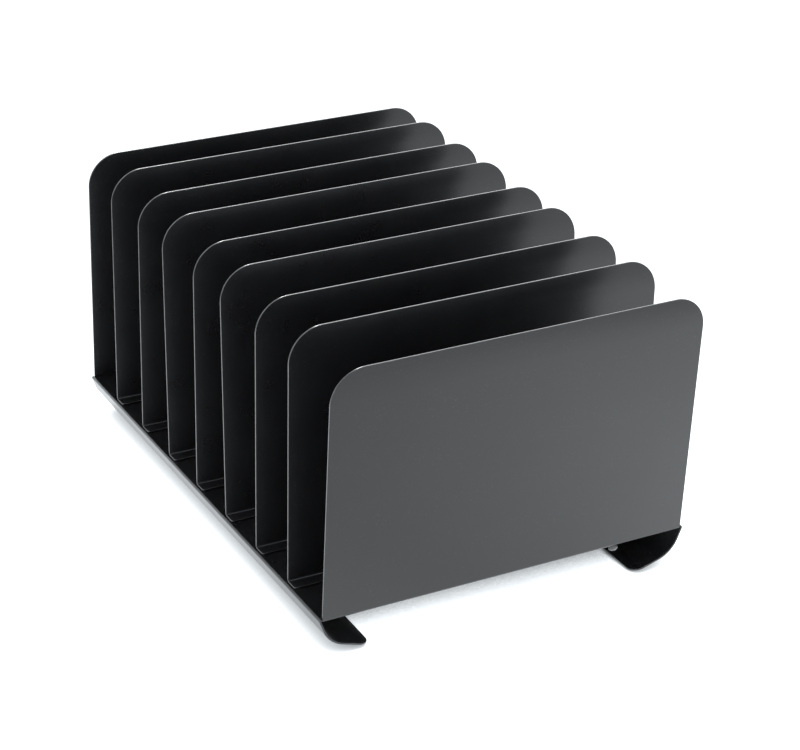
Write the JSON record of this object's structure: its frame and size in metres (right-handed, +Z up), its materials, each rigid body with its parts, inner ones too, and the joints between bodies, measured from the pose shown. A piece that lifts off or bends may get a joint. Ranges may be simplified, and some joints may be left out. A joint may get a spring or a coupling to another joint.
{
  "type": "desktop file sorter",
  "caption": "Sheet-steel desktop sorter: upright round-cornered panels on a bent tray, whose curled sides are its runners, hold files on edge.",
  "frame": {"origin": "centre of the bounding box at desk level, where the four bumpers rest", "axes": "+X to the right seen from the front, across the panels; +Y to the back, across the sections; +Z up"},
  "size_m": [0.2772, 0.3865, 0.2093],
  "materials": {
    "black_enamel": "black baked enamel, semi-gloss, on sheet steel with rounded sheared edges",
    "bumper_vinyl": "mid-grey vinyl, satin"
  },
  "bodies": {
    "root": {"base_tray": "black_enamel", "front_panel": "black_enamel", "divider_1": "black_enamel", "divider_2": "black_enamel", "divider_3": "black_enamel", "divider_4": "black_enamel", "divider_5": "black_enamel", "divider_6": "black_enamel", "divider_7": "black_enamel", "back_panel": "black_enamel", "bumper_front_left": "bumper_vinyl", "bumper_front_right": "bumper_vinyl", "bumper_rear_left": "bumper_vinyl", "bumper_rear_right": "bumper_vinyl"}
  },
  "joints": []
}
